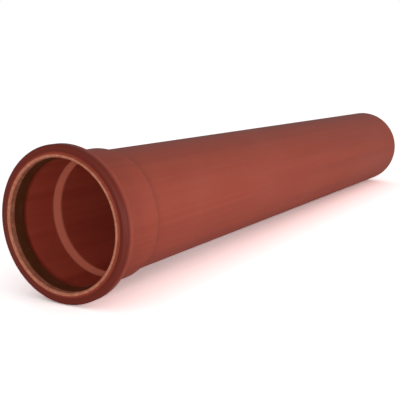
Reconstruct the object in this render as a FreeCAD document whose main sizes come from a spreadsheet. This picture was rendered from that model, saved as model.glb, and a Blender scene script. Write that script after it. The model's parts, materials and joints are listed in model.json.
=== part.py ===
"""Socketed plastic sewer pipe, 160 mm outside diameter, with its rubber sealing ring.

The pipe is one extruded tube. One end is belled into a socket with a raised bead
that holds the sealing ring, and the other end is a chamfered spigot.

Both pieces are turned shapes. Their sections are drawn with x along the axis, from
the socket's mouth at x = 0 to the spigot's end, and y as the radius. The finished
pieces lie on a level floor: the socket's bead and the spigot both touch z = 0, so
the axis falls slightly from the socket to the spigot. The origin is on the floor,
under the middle of the pipe.
"""

import FreeCAD, Part

import os

import Sketcher

# Driving dimensions in millimetres, and angles in degrees. The groove's two angles are
# how far its sides turn from the axis, so the front one, past 90, leans over the lip.
SIZES = {
    "pipe_od": 160.0,
    "pipe_wall": 4.0,
    "laying_length": 1000.0,
    "chamfer_length": 7.0,
    "chamfer_angle": 15.0,
    "socket_depth": 88.0,
    "socket_gap": 0.35,
    "socket_wall": 3.8,
    "shoulder_length": 9.0,
    "shoulder_round": 4.0,
    "lip_length": 3.4,
    "lip_chamfer": 1.5,
    "edge_round": 0.6,
    "groove_depth": 11.5,
    "groove_floor": 9.5,
    "groove_front_angle": 112.0,
    "groove_back_angle": 55.0,
    "groove_round": 1.5,
    "crest_round": 4.0,
    "bend_round": 3.0,
    "ring_clearance": 0.3,
    "ring_root": 5.0,
    "ring_lip": 2.4,
    "ring_notch": 1.8,
}

doc = FreeCAD.newDocument("SewerPipe")
sheet = doc.addObject("Spreadsheet::Sheet", "sizes")
for row, (alias, value) in enumerate(SIZES.items(), start=1):
    sheet.set(f"A{row}", alias)
    sheet.set(f"B{row}", str(value))
    sheet.setAlias(f"B{row}", alias)
doc.recompute()

# Radii that the features share, as expressions of the sheet's cells.
PIPE_R = "(sizes.pipe_od / 2)"
PIPE_BORE_R = f"({PIPE_R} - sizes.pipe_wall)"
BORE_R = f"({PIPE_R} + sizes.socket_gap)"
SOCKET_R = f"({BORE_R} + sizes.socket_wall)"
GROOVE_R = f"({BORE_R} + sizes.groove_depth)"
BEAD_R = f"({GROOVE_R} + sizes.socket_wall)"
SPIGOT_END_R = f"({PIPE_R} - sizes.chamfer_length * tan(sizes.chamfer_angle))"

# How far a bend's outer corner lies behind its inner one, for an even wall.
FRONT_SHIFT = "(sizes.socket_wall * tan(sizes.groove_front_angle / 2))"
BACK_SHIFT = "(sizes.socket_wall * tan(sizes.groove_back_angle / 2))"
SHOULDER_DROP = "(sizes.socket_gap + sizes.pipe_wall)"
SHOULDER_SHIFT = f"(sizes.socket_wall * tan(atan({SHOULDER_DROP} / sizes.shoulder_length) / 2))"

# Stations along the axis. The groove's are of the wall's inner face.
FRONT_FOOT = f"(sizes.lip_length + {FRONT_SHIFT})"
FRONT_TOP = f"({FRONT_FOOT} + sizes.groove_depth / tan(sizes.groove_front_angle))"
BACK_TOP = f"({FRONT_TOP} + sizes.groove_floor)"
BACK_FOOT = f"({BACK_TOP} + sizes.groove_depth / tan(sizes.groove_back_angle))"
SHOULDER = "(sizes.socket_depth - sizes.shoulder_length)"
TOTAL = "(sizes.socket_depth + sizes.laying_length)"
CHAMFER_START = f"({TOTAL} - sizes.chamfer_length)"

# Corners of the pipe wall's section, outer face first.
LIP_FACE_OUTER = ("0", SOCKET_R)
BEAD_FRONT_FOOT = ("sizes.lip_length", SOCKET_R)
BEAD_FRONT_TOP = (f"({FRONT_TOP} - {FRONT_SHIFT})", BEAD_R)
BEAD_BACK_TOP = (f"({BACK_TOP} + {BACK_SHIFT})", BEAD_R)
BEAD_BACK_FOOT = (f"({BACK_FOOT} + {BACK_SHIFT})", SOCKET_R)
SHOULDER_OUTER_TOP = (f"({SHOULDER} + {SHOULDER_SHIFT})", SOCKET_R)
SHOULDER_OUTER_FOOT = (f"(sizes.socket_depth + {SHOULDER_SHIFT})", PIPE_R)
CHAMFER_TOP = (CHAMFER_START, PIPE_R)
SPIGOT_OUTER = (TOTAL, SPIGOT_END_R)
SPIGOT_INNER = (TOTAL, PIPE_BORE_R)
SHOULDER_INNER_FOOT = ("sizes.socket_depth", PIPE_BORE_R)
SHOULDER_INNER_TOP = (SHOULDER, BORE_R)
GROOVE_BACK_FOOT = (BACK_FOOT, BORE_R)
GROOVE_BACK_TOP = (BACK_TOP, GROOVE_R)
GROOVE_FRONT_TOP = (FRONT_TOP, GROOVE_R)
GROOVE_FRONT_FOOT = (FRONT_FOOT, BORE_R)
LIP_CHAMFER_FOOT = ("sizes.lip_chamfer", BORE_R)
LIP_FACE_INNER = ("0", f"({BORE_R} + sizes.lip_chamfer)")

# How the pipe lies: the back of the bead's crest and the start of the spigot's chamfer
# touch the floor.
CREST_BACK = f"({BEAD_BACK_TOP[0]} - sizes.crest_round * tan(sizes.groove_back_angle / 2))"
REST_RUN = f"({CHAMFER_START} - {CREST_BACK})"
REST_RISE = f"({BEAD_R} - sizes.crest_round - {PIPE_R})"
REST_SPAN = f"sqrt({REST_RISE} ^ 2 + {REST_RUN} ^ 2)"
TILT = f"(atan2({REST_RISE}; {REST_RUN}) + asin(sizes.crest_round / {REST_SPAN}))"


def size(expression):
    """Works out an expression of the sheet's cells, as a plain number."""
    value = pipe.evalExpression(expression)
    return float(getattr(value, "Value", value))


def new_body(name):
    """Makes an empty body. Its Label names its file."""
    body = doc.addObject("PartDesign::Body", name)
    body.Label = name
    return body


def turned_section(body, name, corners):
    """Draws a closed section through (x, radius) corners and turns it about the body's X axis."""
    sketch = body.newObject("Sketcher::SketchObject", f"{name}_section")
    plane = next(f for f in body.Origin.OriginFeatures if f.Role == "XZ_Plane")
    sketch.AttachmentSupport = [(plane, "")]
    sketch.MapMode = "FlatFace"
    points = [FreeCAD.Vector(size(x), size(r), 0) for x, r in corners]
    for start, end in zip(points, points[1:] + points[:1]):
        sketch.addGeometry(Part.LineSegment(start, end), False)
    for i in range(len(points)):
        sketch.addConstraint(Sketcher.Constraint("Coincident", i, 2, (i + 1) % len(points), 1))
    for i, (x, r) in enumerate(corners):
        if x == "0":
            sketch.addConstraint(Sketcher.Constraint("PointOnObject", i, 1, -2))
        else:
            k = sketch.addConstraint(Sketcher.Constraint("DistanceX", -1, 1, i, 1, points[i].x))
            sketch.setExpression(f"Constraints[{k}]", x)
        k = sketch.addConstraint(Sketcher.Constraint("DistanceY", -1, 1, i, 1, points[i].y))
        sketch.setExpression(f"Constraints[{k}]", r)
    turned = body.newObject("PartDesign::Revolution", f"{name}_turned")
    turned.Profile = sketch
    turned.ReferenceAxis = (sketch, ["H_Axis"])
    turned.Angle = 360
    doc.recompute()
    return turned


def rounded(body, name, base, corners, radius):
    """Fillets the circular edges of base that run through the given (x, radius) corners."""
    edges = []
    for x, r in corners:
        found = [
            f"Edge{i}"
            for i, edge in enumerate(base.Shape.Edges, start=1)
            if isinstance(edge.Curve, Part.Circle)
            and abs(edge.Curve.Center.x - size(x)) < 1e-4
            and abs(edge.Curve.Radius - size(r)) < 1e-4
        ]
        if not found:
            raise RuntimeError(f"{name}: no edge at x {size(x):.3f}, radius {size(r):.3f}")
        edges += found
    fillet = body.newObject("PartDesign::Fillet", name)
    fillet.Base = (base, edges)
    fillet.setExpression("Radius", radius)
    doc.recompute()
    return fillet


def lay_down(body):
    """Turns a piece about Y so that it lies on the floor, and centres it over the origin."""
    edge_r = f"({SOCKET_R} - sizes.edge_round)"
    first_x = f"(sizes.edge_round * cos({TILT}) - {edge_r} * sin({TILT}) - sizes.edge_round)"
    last_x = f"({TOTAL} * cos({TILT}) + {SPIGOT_END_R} * sin({TILT}))"
    body.Placement = FreeCAD.Placement(FreeCAD.Vector(), FreeCAD.Rotation(FreeCAD.Vector(0, 1, 0), 1))
    body.setExpression("Placement.Rotation.Angle", TILT)
    body.setExpression("Placement.Base.x", f"-({first_x} + {last_x}) / 2")
    body.setExpression("Placement.Base.z", f"{CHAMFER_START} * sin({TILT}) + {PIPE_R} * cos({TILT})")
    doc.recompute()


# The pipe: one wall section from the socket's lip to the spigot, turned, with its bends rounded.
pipe = new_body("pipe")
wall = turned_section(
    pipe,
    "wall",
    [
        LIP_FACE_OUTER,
        BEAD_FRONT_FOOT,
        BEAD_FRONT_TOP,
        BEAD_BACK_TOP,
        BEAD_BACK_FOOT,
        SHOULDER_OUTER_TOP,
        SHOULDER_OUTER_FOOT,
        CHAMFER_TOP,
        SPIGOT_OUTER,
        SPIGOT_INNER,
        SHOULDER_INNER_FOOT,
        SHOULDER_INNER_TOP,
        GROOVE_BACK_FOOT,
        GROOVE_BACK_TOP,
        GROOVE_FRONT_TOP,
        GROOVE_FRONT_FOOT,
        LIP_CHAMFER_FOOT,
        LIP_FACE_INNER,
    ],
)
shoulders = rounded(
    pipe,
    "shoulder_bends",
    wall,
    [SHOULDER_OUTER_TOP, SHOULDER_OUTER_FOOT, SHOULDER_INNER_FOOT, SHOULDER_INNER_TOP],
    "sizes.shoulder_round",
)
bead = rounded(pipe, "bead_crest", shoulders, [BEAD_FRONT_TOP, BEAD_BACK_TOP], "sizes.crest_round")
groove = rounded(pipe, "groove_floor", bead, [GROOVE_FRONT_TOP, GROOVE_BACK_TOP], "sizes.groove_round")
foot = rounded(pipe, "groove_foot", groove, [BEAD_BACK_FOOT, GROOVE_BACK_FOOT], "sizes.bend_round")
rounded(pipe, "lip_edge", foot, [LIP_FACE_OUTER], "sizes.edge_round")
lay_down(pipe)

# The sealing ring fills the groove. Its lip is pressed flat, so it stands level with the socket's bore,
# and a notch behind the root lets it bend.
RING_R = f"({GROOVE_R} - sizes.ring_clearance)"
RING_BORE_R = f"({BORE_R} + sizes.ring_clearance)"
LIP_BACK_R = f"({RING_BORE_R} + sizes.ring_lip)"
NOTCH_R = f"({LIP_BACK_R} + sizes.ring_notch)"


def ring_front(radius):
    """Gives the ring's front face at a radius: the groove's front, moved in by the clearance."""
    top = f"{FRONT_TOP} + sizes.ring_clearance * tan(sizes.groove_front_angle / 2)"
    return f"({top} - ({RING_R} - {radius}) / tan(sizes.groove_front_angle))"


def ring_back(radius):
    """Gives the ring's back face at a radius: the groove's back, moved in by the clearance."""
    top = f"{BACK_TOP} - sizes.ring_clearance * tan(sizes.groove_back_angle / 2)"
    return f"({top} + ({RING_R} - {radius}) / tan(sizes.groove_back_angle))"


RING_FRONT_TOP = (ring_front(RING_R), RING_R)
RING_BACK_TOP = (ring_back(RING_R), RING_R)
NOTCH_ROOT = f"({ring_front(LIP_BACK_R)} + sizes.ring_root)"

sealing_ring = new_body("sealing_ring")
ring = turned_section(
    sealing_ring,
    "ring",
    [
        RING_FRONT_TOP,
        RING_BACK_TOP,
        (ring_back(NOTCH_R), NOTCH_R),
        (NOTCH_ROOT, NOTCH_R),
        (NOTCH_ROOT, LIP_BACK_R),
        (ring_back(LIP_BACK_R), LIP_BACK_R),
        (ring_back(LIP_BACK_R), RING_BORE_R),
        (ring_front(RING_BORE_R), RING_BORE_R),
    ],
)
ring_round = "(sizes.groove_round - sizes.ring_clearance)"
rounded(sealing_ring, "ring_crest", ring, [RING_FRONT_TOP, RING_BACK_TOP], ring_round)
lay_down(sealing_ring)

for obj in doc.Objects:
    if "Invalid" in obj.State or "Error" in obj.State:
        raise RuntimeError(f"{obj.Label} failed: {obj.State}")

os.makedirs("parts", exist_ok=True)
for body in (pipe, sealing_ring):
    shape = body.Shape
    if shape.isNull() or not shape.isValid():
        raise RuntimeError(f"{body.Label} has no valid shape")
    box = shape.optimalBoundingBox()
    print(f"{body.Label}: {shape.Volume / 1000:.1f} cm3")
    print(f"  x {box.XMin:.3f} to {box.XMax:.3f}, z {box.ZMin:.3f} to {box.ZMax:.3f}")
    shape.exportStep(f"parts/{body.Label}.step")
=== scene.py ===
"""Looks of a socketed plastic sewer pipe with its rubber sealing ring.

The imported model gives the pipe's axis, its two fitting radii and its length. Both pieces
are surfaces of revolution about that axis: a section is drawn as (station, radius) points,
with stations counted from the socket's mouth, and is carried once round.
"""

from __future__ import annotations

import json
import logging
import math
from dataclasses import dataclass
from enum import IntEnum

import bpy
import numpy as np
from mathutils import Matrix, Vector

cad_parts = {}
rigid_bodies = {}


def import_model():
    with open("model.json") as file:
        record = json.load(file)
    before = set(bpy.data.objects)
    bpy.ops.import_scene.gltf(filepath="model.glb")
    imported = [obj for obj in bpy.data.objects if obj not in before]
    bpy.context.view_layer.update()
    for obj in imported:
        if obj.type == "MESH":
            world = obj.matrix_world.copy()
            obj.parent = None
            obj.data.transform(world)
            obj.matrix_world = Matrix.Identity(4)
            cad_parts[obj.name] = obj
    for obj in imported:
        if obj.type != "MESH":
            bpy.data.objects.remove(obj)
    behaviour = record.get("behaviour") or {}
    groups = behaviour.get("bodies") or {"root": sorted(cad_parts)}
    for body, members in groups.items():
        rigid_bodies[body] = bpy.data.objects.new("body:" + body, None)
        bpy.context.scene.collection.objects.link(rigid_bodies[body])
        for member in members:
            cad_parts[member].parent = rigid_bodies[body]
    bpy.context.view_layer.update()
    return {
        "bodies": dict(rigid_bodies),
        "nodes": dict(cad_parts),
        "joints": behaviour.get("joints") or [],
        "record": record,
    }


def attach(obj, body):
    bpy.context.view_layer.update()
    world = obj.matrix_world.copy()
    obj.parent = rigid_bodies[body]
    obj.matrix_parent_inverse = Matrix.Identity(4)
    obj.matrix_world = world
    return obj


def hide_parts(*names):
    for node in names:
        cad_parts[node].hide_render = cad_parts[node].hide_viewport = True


log = logging.getLogger("sewer_pipe")

Colour = tuple[float, float, float]
MM = 0.001
PVC_SHEEN = {"IOR": 1.53, "Specular IOR Level": 0.18}
RUBBER_SHEEN = {"IOR": 1.5}


def srgb(red: float, green: float, blue: float) -> Colour:
    """Turns a display colour of 0 to 255 into scene-linear values.

    Args:
        red: The red level.
        green: The green level.
        blue: The blue level.

    Returns:
        The linear colour: the level's 2.4th power, with the display's short straight foot.
    """
    level = np.array((red, green, blue)) / 255
    linear = np.where(level > 0.04045, ((level + 0.055) / 1.055) ** 2.4, level / 12.92)
    return tuple(float(v) for v in linear)


# ---------------------------------------------------------------------------
# Shader maths


class Value:
    """One output socket, or a number, with arithmetic that adds Math nodes."""

    def __init__(self, graph: Graph, socket: bpy.types.NodeSocket) -> None:
        """Wraps a socket of a graph."""
        self.graph = graph
        self.socket = socket

    def _math(self, operation: str, first: Value | float, second: Value | float) -> Value:
        """Adds a Math node that joins two values."""
        return self.graph.node("ShaderNodeMath", {"operation": operation}, {0: first, 1: second})

    def __add__(self, other: Value | float) -> Value:
        """Adds another value."""
        return self._math("ADD", self, other)

    __radd__ = __add__

    def __sub__(self, other: Value | float) -> Value:
        """Takes another value away."""
        return self._math("SUBTRACT", self, other)

    def __rsub__(self, other: float) -> Value:
        """Takes this value away from a number."""
        return self._math("SUBTRACT", other, self)

    def __mul__(self, other: Value | float) -> Value:
        """Multiplies by another value."""
        return self._math("MULTIPLY", self, other)

    __rmul__ = __mul__

    def step(self, low: float, high: float) -> Value:
        """Rises smoothly from 0 at low to 1 at high."""
        settings = {"interpolation_type": "SMOOTHSTEP"}
        inputs = {"Value": self, "From Min": low, "From Max": high}
        return self.graph.node("ShaderNodeMapRange", settings, inputs)


class Graph:
    """The node tree of one material, with the piece's own coordinates at hand."""

    def __init__(self, name: str, axis: Axis) -> None:
        """Makes an empty material whose coordinates follow the pipe's axis.

        Args:
            name: The material's name.
            axis: The pipe's axis, which the patterns run along.
        """
        self.material = bpy.data.materials.new(name)
        self.material.use_nodes = True
        self.tree = self.material.node_tree
        self.tree.nodes.clear()
        here = self.node("ShaderNodeTexCoord", {}, {}, "Object")
        turned = {"Location": axis.pattern_shift(), "Rotation": (0.0, -axis.tilt(), 0.0)}
        self.place = self.node("ShaderNodeMapping", {"vector_type": "POINT"}, {"Vector": here, **turned})

    def node(
        self,
        kind: str,
        settings: dict[str, object],
        inputs: dict[int | str, object],
        output: int | str = 0,
    ) -> Value:
        """Adds any node.

        Args:
            kind: The node's type.
            settings: Its properties, which are set first.
            inputs: The value or link of each socket.
            output: Which of its outputs is wanted.

        Returns:
            The wanted output.
        """
        node = self.tree.nodes.new(kind)
        for name, value in settings.items():
            setattr(node, name, value)
        for key, value in inputs.items():
            if isinstance(value, Value):
                self.tree.links.new(value.socket, node.inputs[key])
            elif isinstance(value, tuple) and node.inputs[key].type == "RGBA":
                node.inputs[key].default_value = (*value, 1.0)
            else:
                node.inputs[key].default_value = value
        return Value(self, node.outputs[output])

    def station(self) -> Value:
        """Gives the distance from the socket's mouth along the axis."""
        return self.node("ShaderNodeSeparateXYZ", {}, {0: self.place}, "X")

    def radius(self) -> Value:
        """Gives the distance from the axis."""
        flat = self.scaled(0.0, 1.0)
        return self.node("ShaderNodeVectorMath", {"operation": "LENGTH"}, {0: flat}, "Value")

    def scaled(self, along: float, across: float) -> Value:
        """Gives the pipe's coordinates, scaled along and across its axis."""
        settings = {"vector_type": "POINT"}
        inputs = {"Vector": self.place, "Scale": (along, across, across)}
        return self.node("ShaderNodeMapping", settings, inputs)

    def noise(self, along: float, across: float, detail: float = 3.0, rough: float = 0.55) -> Value:
        """Gives a noise pattern of 0 to 1 with its own scales along and across the axis.

        Args:
            along: Cells per metre along the axis.
            across: Cells per metre across the axis.
            detail: How many finer layers are added.
            rough: How strong the finer layers are.

        Returns:
            The pattern.
        """
        inputs = {"Vector": self.scaled(along, across), "Scale": 1.0, "Detail": detail, "Roughness": rough}
        return self.node("ShaderNodeTexNoise", {"noise_dimensions": "3D"}, inputs, "Fac")

    def mix(self, factor: Value | float, first: object, second: object) -> Value:
        """Mixes two colours."""
        settings = {"data_type": "RGBA", "blend_type": "MIX"}
        return self.node("ShaderNodeMix", settings, {0: factor, 6: first, 7: second}, 2)

    def bump(self, height: Value, distance: float) -> Value:
        """Turns a height pattern into a normal."""
        inputs = {"Height": height, "Distance": distance, "Strength": 1.0}
        return self.node("ShaderNodeBump", {}, inputs, "Normal")

    def finish(self, inputs: dict[int | str, object]) -> bpy.types.Material:
        """Joins a Principled shader with these inputs to the material's output."""
        shader = self.node("ShaderNodeBsdfPrincipled", {}, inputs)
        output = self.tree.nodes.new("ShaderNodeOutputMaterial")
        self.tree.links.new(shader.socket, output.inputs["Surface"])
        return self.material


# ---------------------------------------------------------------------------
# Finishes


@dataclass(frozen=True)
class ExtrudedPvc:
    """The drawn skin of the pipe: satin brick red, with fine lines along it and a few rubs.

    The bead's front, outside the lip, is painted a deep maroon: painted shade for the recess between the
    lip and the bead's crest.
    """

    colour: Colour = srgb(168, 74, 56)
    deep: Colour = srgb(148, 60, 45)
    pale: Colour = srgb(184, 100, 82)
    # The next colour and the four sizes after it are painted shade on the bead's front, and where that
    # shade fades in along the axis and outwards.
    painted_front_shade: Colour = srgb(112, 40, 28)
    painted_shade_from: float = 5.0 * MM
    painted_shade_to: float = 13.0 * MM
    painted_shade_foot: float = 84.5 * MM
    painted_shade_full: float = 88.0 * MM
    rough: float = 0.5
    rough_change: float = 0.16
    line_height: float = 0.05 * MM

    def material(self, axis: Axis) -> bpy.types.Material:
        """Builds the material.

        Args:
            axis: The pipe's axis.

        Returns:
            The finished material.
        """
        g = Graph("extruded_pvc", axis)
        lines = g.noise(0.9, 420.0, 2.0)
        bands = g.noise(1.6, 46.0, 3.0)
        cloud = g.noise(7.0, 9.0, 4.0)
        rub = g.noise(26.0, 230.0, 5.0, 0.7).step(0.62, 0.78)
        shade = g.mix(bands.step(0.3, 0.7), self.deep, self.colour)
        shade = g.mix(0.55, shade, self.colour)
        shade = g.mix(lines.step(0.35, 0.75) * 0.16, shade, self.pale)
        shade = g.mix(cloud.step(0.45, 0.75) * 0.18, shade, self.pale)
        shade = g.mix(rub * 0.22, shade, self.pale)
        # Painted shade: the bead's front, ahead of 5 to 13 mm and outside 84.5 to 88 mm from the axis, is
        # darkened as if in the recess's shade.
        behind = g.station().step(self.painted_shade_from, self.painted_shade_to)
        outside = g.radius().step(self.painted_shade_foot, self.painted_shade_full)
        painted_front_shade = (1 - behind) * outside
        shade = g.mix(painted_front_shade, shade, self.painted_front_shade)
        rough = self.rough + (bands - 0.5) * self.rough_change + rub * 0.12
        height = lines * 0.7 + g.noise(3.0, 120.0, 2.0) * 0.5
        normal = g.bump(height, self.line_height)
        inputs = {"Base Color": shade, "Roughness": rough, "Normal": normal, **PVC_SHEEN}
        return g.finish(inputs)


@dataclass(frozen=True)
class CutPvc:
    """The lip and the cut faces: paler and duller than the skin, with fine turning marks."""

    colour: Colour = srgb(206, 134, 106)
    deep: Colour = srgb(180, 106, 80)
    rough: float = 0.62
    mark_height: float = 0.04 * MM

    def material(self, axis: Axis) -> bpy.types.Material:
        """Builds the material.

        Args:
            axis: The pipe's axis.

        Returns:
            The finished material.
        """
        g = Graph("cut_pvc", axis)
        marks = g.noise(1900.0, 40.0, 2.0)
        worn = g.noise(160.0, 160.0, 4.0, 0.65)
        shade = g.mix(worn.step(0.35, 0.7), self.deep, self.colour)
        rough = self.rough + (worn - 0.5) * 0.2
        normal = g.bump(marks, self.mark_height)
        inputs = {"Base Color": shade, "Roughness": rough, "Normal": normal, **PVC_SHEEN}
        return g.finish(inputs)


@dataclass(frozen=True)
class InnerPvc:
    """The bore's skin: a brighter, redder red than the outer skin, which is painted light standing in for
    fill light in the bore, and a painted highlight at the shoulder.
    """

    # colour and deep are painted light: brighter and redder than the outer skin so that the shaded bore
    # reads lighter.
    colour: Colour = srgb(192, 84, 64)
    deep: Colour = srgb(172, 70, 53)
    # Painted highlight: a paler red for the shoulder's cone, standing in for the light it catches, with the
    # stations where it starts and ends.
    shoulder: Colour = srgb(214, 124, 100)
    painted_highlight_from: float = 76.0 * MM
    painted_highlight_to: float = 92.0 * MM
    painted_highlight_blend: float = 3.0 * MM
    rough: float = 0.45
    line_height: float = 0.03 * MM

    def material(self, axis: Axis) -> bpy.types.Material:
        """Builds the material.

        Args:
            axis: The pipe's axis.

        Returns:
            The finished material.
        """
        g = Graph("inner_pvc", axis)
        lines = g.noise(0.9, 300.0, 2.0)
        bands = g.noise(1.6, 40.0, 3.0)
        shade = g.mix(bands.step(0.3, 0.7), self.deep, self.colour)
        station = g.station()
        start = station.step(self.painted_highlight_from, self.painted_highlight_from + self.painted_highlight_blend)
        end = station.step(self.painted_highlight_to - self.painted_highlight_blend, self.painted_highlight_to)
        # Painted highlight: the shoulder between 76 and 92 mm is mixed towards the paler colour.
        shade = g.mix(start * (1 - end) * 0.7, shade, self.shoulder)
        rough = self.rough + (bands - 0.5) * 0.12
        normal = g.bump(lines, self.line_height)
        inputs = {"Base Color": shade, "Roughness": rough, "Normal": normal, **PVC_SHEEN}
        return g.finish(inputs)


@dataclass(frozen=True)
class MouldedRubber:
    """The sealing ring's rubber: dark brown, with a faint bloom."""

    colour: Colour = srgb(84, 40, 12)
    bloom: Colour = srgb(108, 60, 26)
    rough: float = 0.5
    grain_height: float = 0.02 * MM

    def material(self, axis: Axis) -> bpy.types.Material:
        """Builds the material.

        Args:
            axis: The pipe's axis.

        Returns:
            The finished material.
        """
        g = Graph("moulded_rubber", axis)
        cloud = g.noise(120.0, 60.0, 4.0, 0.6)
        grain = g.noise(2600.0, 2600.0, 2.0)
        shade = g.mix(cloud.step(0.45, 0.8) * 0.5, self.colour, self.bloom)
        rough = self.rough + (cloud - 0.5) * 0.3
        normal = g.bump(grain, self.grain_height)
        inputs = {"Base Color": shade, "Roughness": rough, "Normal": normal, **RUBBER_SHEEN}
        return g.finish(inputs)


# ---------------------------------------------------------------------------
# Geometry


@dataclass(frozen=True)
class Axis:
    """The pipe's axis: the mouth's centre, and the direction towards the spigot."""

    mouth: np.ndarray
    direction: np.ndarray
    length: float

    @classmethod
    def from_frame(cls, frame: dict) -> Axis:
        """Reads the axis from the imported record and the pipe's mesh.

        Args:
            frame: The loaded frame.

        Returns:
            The axis. Its ends are the least and greatest stations of the pipe's points.
        """
        spigot = mount(frame, "spigot")
        direction = np.array(spigot["axis"], float)
        direction /= np.linalg.norm(direction)
        through = np.array(spigot["pos_m"], float)
        mesh = frame["nodes"]["pipe"].data
        points = np.empty(len(mesh.vertices) * 3, np.float32)
        mesh.vertices.foreach_get("co", points)
        stations = (points.reshape(-1, 3) - through) @ direction
        mouth = through + stations.min() * direction
        return cls(mouth, direction, float(stations.max() - stations.min()))

    def tilt(self) -> float:
        """Gives how far the axis falls towards the spigot, in radians."""
        return math.atan2(-self.direction[2], self.direction[0])

    def pattern_shift(self) -> tuple[float, float, float]:
        """Gives the shift that puts the patterns' origin at the mouth's centre, once they are turned."""
        turned = Matrix.Rotation(-self.tilt(), 3, "Y") @ Vector(self.mouth)
        return tuple(-v for v in turned)

    def carry_round(
        self,
        section: np.ndarray,
        turns: np.ndarray,
        swell: np.ndarray | float = 0.0,
    ) -> np.ndarray:
        """Carries a section once round the axis.

        Each point keeps its station, and its radius, plus the swell, is laid off at each turn
        angle between the level and the upright direction across the axis.

        Args:
            section: Stations and radii, one row for each point.
            turns: The turn angles.
            swell: An extra radius for each section point and turn angle.

        Returns:
            The points, section by turns by three.
        """
        level = np.array((0.0, 1.0, 0.0))
        upright = np.cross(self.direction, level)
        across = np.cos(turns)[:, None] * level + np.sin(turns)[:, None] * upright
        radius = section[:, 1, None] + swell * np.ones((1, len(turns)))
        along = self.mouth + section[:, :1] * self.direction
        return along[:, None, :] + radius[:, :, None] * across[None, :, :]


def mount(frame: dict, name: str) -> dict:
    """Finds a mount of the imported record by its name."""
    return next(m for m in frame["record"]["mounts"] if m["name"] == name)


class Zone(IntEnum):
    """Which finish a stretch of the pipe's section has."""

    SKIN = 0
    CUT = 1
    INSIDE = 2


@dataclass(frozen=True)
class Corner:
    """A corner of a section: its station, radius and rounding, and the zone of the side after it."""

    station: float
    radius: float
    rounding: float = 0.0
    zone: Zone = Zone.SKIN


def rounded_outline(corners: list[Corner], steps: int, longest: float) -> tuple[np.ndarray, np.ndarray]:
    """Turns a closed outline's corners into arcs, and divides its long sides.

    Each corner becomes the arc that touches both of its sides: the arc starts the tangent
    length before the corner, and its points sweep evenly between the two touching radii.

    Args:
        corners: The corners in order.
        steps: Pieces of each arc.
        longest: The longest side left undivided.

    Returns:
        The outline's points, and the zone of the side that follows each point.
    """
    here = np.array([(c.station, c.radius) for c in corners])
    rounding = np.array([c.rounding for c in corners])
    zones = np.array([int(c.zone) for c in corners])
    back = np.roll(here, 1, axis=0) - here
    ahead = np.roll(here, -1, axis=0) - here
    back /= np.linalg.norm(back, axis=1, keepdims=True)
    ahead /= np.linalg.norm(ahead, axis=1, keepdims=True)
    half = np.arccos(np.clip((back * ahead).sum(1), -1, 1)) / 2
    tangent = (rounding / np.tan(half))[:, None]
    inward = back + ahead
    inward /= np.linalg.norm(inward, axis=1, keepdims=True)
    centre = here + inward * (rounding / np.sin(half))[:, None]
    first = here + back * tangent - centre
    last = here + ahead * tangent - centre
    sweep = (np.pi - 2 * half)[:, None, None]
    share = np.linspace(0, 1, steps + 1)[None, :, None]
    arc = np.sin((1 - share) * sweep) * first[:, None] + np.sin(share * sweep) * last[:, None]
    points = (centre[:, None] + arc / np.sin(sweep)).reshape(-1, 2)
    side_zone = np.repeat(zones, steps + 1)
    keep = np.linalg.norm(points - np.roll(points, 1, axis=0), axis=1) > 1e-7
    points, side_zone = points[keep], side_zone[keep]
    step = np.roll(points, -1, axis=0) - points
    parts = np.ceil(np.linalg.norm(step, axis=1) / longest).astype(int)
    owner = np.repeat(np.arange(len(points)), parts)
    order = np.arange(len(owner)) - np.repeat(np.cumsum(parts) - parts, parts)
    return points[owner] + step[owner] * (order / parts[owner])[:, None], side_zone[owner]


def ring_mesh(name: str, points: np.ndarray, zones: np.ndarray) -> bpy.types.Object:
    """Makes a closed mesh from a closed section carried once round.

    The faces join each section point and turn to the next ones, and both directions wrap.

    Args:
        name: The object's name.
        points: The points, section by turns by three.
        zones: The material slot of each section side.

    Returns:
        The object, with its faces outwards and shaded smooth.
    """
    count, turns, _ = points.shape
    index = np.arange(count * turns).reshape(count, turns)
    ahead = np.roll(index, -1, axis=0)
    corners = [index, ahead, np.roll(ahead, -1, axis=1), np.roll(index, -1, axis=1)]
    faces = np.stack(corners, -1).reshape(-1, 4)
    flat = points.reshape(-1, 3)
    corner = flat[faces]
    volume = np.einsum("ij,ij->", corner[:, 0], np.cross(corner[:, 1], corner[:, 2]))
    volume += np.einsum("ij,ij->", corner[:, 0], np.cross(corner[:, 2], corner[:, 3]))
    if volume < 0:
        faces = faces[:, ::-1]
    mesh = bpy.data.meshes.new(name)
    mesh.vertices.add(len(flat))
    mesh.vertices.foreach_set("co", flat.astype(np.float32).ravel())
    mesh.loops.add(faces.size)
    mesh.loops.foreach_set("vertex_index", faces.astype(np.int32).ravel())
    mesh.polygons.add(len(faces))
    mesh.polygons.foreach_set("loop_start", np.arange(0, faces.size, 4, dtype=np.int32))
    mesh.polygons.foreach_set("material_index", np.repeat(zones, turns).astype(np.int32))
    mesh.polygons.foreach_set("use_smooth", np.ones(len(faces), bool))
    mesh.update(calc_edges=True)
    mesh.validate()
    piece = bpy.data.objects.new(name, mesh)
    bpy.context.scene.collection.objects.link(piece)
    return piece


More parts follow.
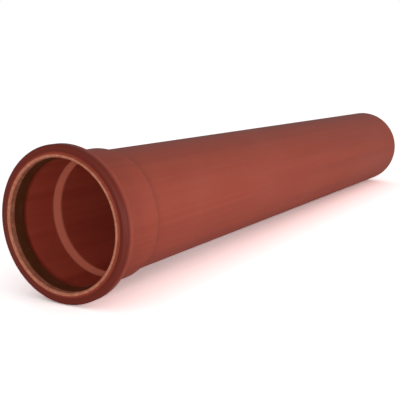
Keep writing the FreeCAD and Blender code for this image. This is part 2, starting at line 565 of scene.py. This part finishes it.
@dataclass
class SocketedPipe:
    """The extruded tube with its belled socket. Sizes are in metres."""

    axis: Axis
    spigot_radius: float
    bore_radius: float
    wall: float = 4.0 * MM
    socket_wall: float = 3.8 * MM
    socket_depth: float = 88.0 * MM
    shoulder_length: float = 9.0 * MM
    shoulder_round: float = 4.0 * MM
    chamfer_length: float = 7.0 * MM
    chamfer_angle: float = math.radians(15)
    lip_length: float = 3.4 * MM
    lip_chamfer: float = 1.5 * MM
    edge_round: float = 0.6 * MM
    groove_depth: float = 11.5 * MM
    groove_floor: float = 9.5 * MM
    groove_front_angle: float = math.radians(112)
    groove_back_angle: float = math.radians(55)
    groove_round: float = 1.5 * MM
    crest_round: float = 4.0 * MM
    bend_round: float = 3.0 * MM
    wave_height: float = 0.12 * MM
    wave_fade: float = 0.12
    turns: int = 360

    def lag(self, angle: float) -> float:
        """Gives how far a bend's outer corner lies behind its inner one, for an even wall."""
        return self.socket_wall * math.tan(angle / 2)

    def groove(self) -> tuple[float, float, float, float]:
        """Gives the groove's inner stations: front foot, front top, back top and back foot."""
        front_foot = self.lip_length + self.lag(self.groove_front_angle)
        front_top = front_foot + self.groove_depth / math.tan(self.groove_front_angle)
        back_top = front_top + self.groove_floor
        back_foot = back_top + self.groove_depth / math.tan(self.groove_back_angle)
        return front_foot, front_top, back_top, back_foot

    def corners(self) -> list[Corner]:
        """Gives the wall's section: the outer side to the spigot, then the inner side back."""
        total = self.axis.length
        foot, top, back_top, back_foot = self.groove()
        front_lag = self.lag(self.groove_front_angle)
        back_lag = self.lag(self.groove_back_angle)
        socket = self.bore_radius + self.socket_wall
        groove = self.bore_radius + self.groove_depth
        bead = groove + self.socket_wall
        shoulder = self.socket_depth - self.shoulder_length
        drop = self.bore_radius - self.spigot_radius + self.wall
        shoulder_lag = self.lag(math.atan(drop / self.shoulder_length))
        spigot_end = self.spigot_radius - self.chamfer_length * math.tan(self.chamfer_angle)
        inner = self.spigot_radius - self.wall
        fine = self.edge_round / 2
        return [
            Corner(0.0, socket, self.edge_round, Zone.CUT),
            Corner(self.lip_length, socket, self.edge_round),
            Corner(top - front_lag, bead, self.crest_round),
            Corner(back_top + back_lag, bead, self.crest_round),
            Corner(back_foot + back_lag, socket, self.bend_round),
            Corner(shoulder + shoulder_lag, socket, self.shoulder_round),
            Corner(self.socket_depth + shoulder_lag, self.spigot_radius, self.shoulder_round),
            Corner(total - self.chamfer_length, self.spigot_radius, fine, Zone.CUT),
            Corner(total, spigot_end, fine, Zone.CUT),
            Corner(total, inner, fine, Zone.INSIDE),
            Corner(self.socket_depth, inner, self.shoulder_round, Zone.INSIDE),
            Corner(shoulder, self.bore_radius, self.shoulder_round, Zone.INSIDE),
            Corner(back_foot, self.bore_radius, self.bend_round, Zone.INSIDE),
            Corner(back_top, groove, self.groove_round, Zone.INSIDE),
            Corner(top, groove, self.groove_round, Zone.INSIDE),
            Corner(foot, self.bore_radius, fine, Zone.CUT),
            Corner(self.lip_chamfer, self.bore_radius, fine, Zone.CUT),
            Corner(0.0, self.bore_radius + self.lip_chamfer, fine, Zone.CUT),
        ]

    def waves(self, section: np.ndarray, turns: np.ndarray) -> np.ndarray:
        """Gives the tube's slight unevenness as an extra radius.

        It is a sum of three long waves, each a cosine round the axis whose phase drifts
        slowly along it, and it fades out towards the fitted ends.

        Args:
            section: The section's points.
            turns: The turn angles.

        Returns:
            The extra radius for each section point and turn angle.
        """
        along = section[:, :1]
        shape = 0.5 * np.cos(2 * turns + 1.3 + 2.1 * along)
        shape = shape + 0.3 * np.cos(3 * turns - 0.4 - 5.0 * along)
        shape = shape + 0.2 * np.cos(5 * turns + 2.0 + 9.0 * along)
        after_socket = np.clip((along - self.socket_depth) / self.wave_fade, 0, 1)
        before_end = np.clip((self.axis.length - along) / self.wave_fade, 0, 1)
        return -self.wave_height * (1 + shape) / 2 * after_socket * before_end

    def build(self, skin: ExtrudedPvc, cut: CutPvc, inside: InnerPvc) -> bpy.types.Object:
        """Makes the pipe in place of its plain solid.

        Args:
            skin: The finish of the outer faces.
            cut: The finish of the lip and of the cut faces.
            inside: The finish of the bore and the groove.

        Returns:
            The pipe's object.
        """
        section, zones = rounded_outline(self.corners(), steps=8, longest=18 * MM)
        turns = np.linspace(0, 2 * np.pi, self.turns, endpoint=False)
        points = self.axis.carry_round(section, turns, self.waves(section, turns))
        piece = ring_mesh("socketed_pipe", points, zones)
        for finish in (skin, cut, inside):
            piece.data.materials.append(finish.material(self.axis))
        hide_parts("pipe")
        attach(piece, "root")
        return piece


@dataclass
class SealingRing:
    """The lip seal in the groove. Sizes are in metres."""

    axis: Axis
    pipe: SocketedPipe
    clearance: float = 0.3 * MM
    lip_reach: float = 2.5 * MM
    lip_thickness: float = 2.4 * MM
    root: float = 5.0 * MM
    notch: float = 1.8 * MM
    edge_round: float = 0.4 * MM
    turns: int = 360

    def corners(self) -> list[Corner]:
        """Gives the ring's section: the body against the groove, and the lip leaning in behind its root."""
        pipe = self.pipe
        _, top, back_top, _ = pipe.groove()
        crest = pipe.bore_radius + pipe.groove_depth - self.clearance
        front = top + self.clearance * math.tan(pipe.groove_front_angle / 2)
        back = back_top - self.clearance * math.tan(pipe.groove_back_angle / 2)
        bore = pipe.bore_radius + self.clearance
        lip_back = bore + self.lip_thickness
        notch = lip_back + self.notch
        outer_round = pipe.groove_round - self.clearance
        fine = self.edge_round

        def front_at(radius: float) -> float:
            """Gives the front face's station at a radius."""
            return front - (crest - radius) / math.tan(pipe.groove_front_angle)

        def back_at(radius: float) -> float:
            """Gives the back face's station at a radius."""
            return back + (crest - radius) / math.tan(pipe.groove_back_angle)

        tip = back_at(bore) + self.lip_reach / 2
        root = front_at(lip_back) + self.root
        return [
            Corner(front, crest, outer_round),
            Corner(back, crest, outer_round),
            Corner(back_at(notch), notch, fine),
            Corner(root, notch, fine),
            Corner(root, lip_back, fine),
            Corner(tip, bore - self.lip_reach + self.lip_thickness / 2, fine),
            Corner(tip, bore - self.lip_reach, fine),
            Corner(front_at(bore), bore, fine * 2),
        ]

    def build(self, rubber: MouldedRubber) -> bpy.types.Object:
        """Makes the ring in place of its plain solid.

        Args:
            rubber: The ring's finish.

        Returns:
            The ring's object.
        """
        section, zones = rounded_outline(self.corners(), steps=5, longest=2 * MM)
        turns = np.linspace(0, 2 * np.pi, self.turns, endpoint=False)
        piece = ring_mesh("lip_seal", self.axis.carry_round(section, turns), zones)
        piece.data.materials.append(rubber.material(self.axis))
        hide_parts("sealing_ring")
        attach(piece, "root")
        return piece


# ---------------------------------------------------------------------------
# Studio


@dataclass(frozen=True)
class Viewpoint:
    """Where the camera stands and looks. Azimuth 0 looks along +Y, and elevation is above the horizon."""

    place: tuple[float, float, float] = (-1.1701, -0.5661, 0.2871)
    azimuth: float = math.radians(-59.08)
    elevation: float = math.radians(10.95)
    lens: float = 65.6

    def build(self) -> bpy.types.Object:
        """Makes the scene's camera."""
        data = bpy.data.cameras.new("camera")
        data.lens = self.lens
        data.sensor_width = 36.0
        data.clip_start = 0.01
        camera = bpy.data.objects.new("camera", data)
        camera.location = self.place
        camera.rotation_euler = (math.pi / 2 - self.elevation, 0.0, self.azimuth)
        bpy.context.scene.collection.objects.link(camera)
        bpy.context.scene.camera = camera
        return camera


@dataclass(frozen=True)
class AreaLamp:
    """A square soft lamp that faces a target."""

    name: str
    place: tuple[float, float, float]
    target: tuple[float, float, float]
    size: float
    power: float

    def build(self) -> bpy.types.Object:
        """Makes the lamp."""
        data = bpy.data.lights.new(self.name, "AREA")
        data.shape = "SQUARE"
        data.size = self.size
        data.energy = self.power
        lamp = bpy.data.objects.new(self.name, data)
        lamp.location = self.place
        lamp.rotation_euler = (Vector(self.target) - Vector(self.place)).to_track_quat("-Z", "Y").to_euler()
        bpy.context.scene.collection.objects.link(lamp)
        return lamp


@dataclass(frozen=True)
class Studio:
    """A pale level floor under plain soft light, seen against white."""

    floor_half: float = 6.0
    floor_colour: float = 0.86
    floor_seen: float = 2.85
    sky: float = 0.36

    def floor(self) -> bpy.types.Object:
        """Makes the floor. To the camera it is paler, so that it is white except in shadow."""
        half = self.floor_half
        mesh = bpy.data.meshes.new("floor")
        corners = [(-half, -half, 0), (half, -half, 0), (half, half, 0), (-half, half, 0)]
        mesh.from_pydata(corners, [], [(0, 1, 2, 3)])
        material = bpy.data.materials.new("pale_floor")
        material.use_nodes = True
        tree = material.node_tree
        tree.nodes.clear()
        path = tree.nodes.new("ShaderNodeLightPath")
        grey = tree.nodes.new("ShaderNodeMapRange")
        grey.inputs["To Min"].default_value = self.floor_colour
        grey.inputs["To Max"].default_value = self.floor_seen
        diffuse = tree.nodes.new("ShaderNodeBsdfDiffuse")
        out = tree.nodes.new("ShaderNodeOutputMaterial")
        tree.links.new(path.outputs["Is Camera Ray"], grey.inputs["Value"])
        tree.links.new(grey.outputs[0], diffuse.inputs["Color"])
        tree.links.new(diffuse.outputs[0], out.inputs["Surface"])
        mesh.materials.append(material)
        floor = bpy.data.objects.new("floor", mesh)
        bpy.context.scene.collection.objects.link(floor)
        return floor

    def world(self) -> bpy.types.World:
        """Makes the even surroundings. To the camera they are white."""
        world = bpy.data.worlds.new("studio")
        world.use_nodes = True
        tree = world.node_tree
        tree.nodes.clear()
        path = tree.nodes.new("ShaderNodeLightPath")
        level = tree.nodes.new("ShaderNodeMapRange")
        level.inputs["To Min"].default_value = self.sky
        level.inputs["To Max"].default_value = 1.0
        tree.links.new(path.outputs["Is Camera Ray"], level.inputs["Value"])
        back = tree.nodes.new("ShaderNodeBackground")
        back.inputs["Color"].default_value = (1.0, 1.0, 1.0, 1.0)
        tree.links.new(level.outputs[0], back.inputs["Strength"])
        out = tree.nodes.new("ShaderNodeOutputWorld")
        tree.links.new(back.outputs[0], out.inputs["Surface"])
        bpy.context.scene.world = world
        return world

    def build(self) -> None:
        """Makes the floor, the surroundings and the lamps."""
        self.floor()
        self.world()
        AreaLamp("key", (-0.2, -2.6, 0.42), (0.0, 0.0, 0.08), 0.7, 27.0).build()
        AreaLamp("mouth", (-2.9, -0.75, 0.28), (-0.5, 0.0, 0.08), 0.45, 26.0).build()


def build_scene(frame: dict) -> None:
    """Builds the pieces, the studio and the camera in order.

    Args:
        frame: The loaded frame.
    """
    view = bpy.context.scene.view_settings
    view.view_transform = "Standard"
    axis = Axis.from_frame(frame)
    spigot_radius, bore_radius = (mount(frame, name)["dims"]["r_mm"] * MM for name in ("spigot", "socket"))
    pipe = SocketedPipe(axis, spigot_radius, bore_radius)
    ring = SealingRing(axis, pipe)
    pieces = [pipe.build(ExtrudedPvc(), CutPvc(), InnerPvc()), ring.build(MouldedRubber())]
    for piece in pieces:
        log.info("%s: %d faces", piece.name, len(piece.data.polygons))
    Studio().build()
    Viewpoint().build()
    log.info("tilt %.3f degrees, length %.4f m", math.degrees(axis.tilt()), axis.length)


def main() -> None:
    """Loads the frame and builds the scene."""
    logging.basicConfig(level=logging.INFO, format="%(name)s: %(message)s")
    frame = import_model()
    build_scene(frame)


if __name__ == "__main__":
    main()
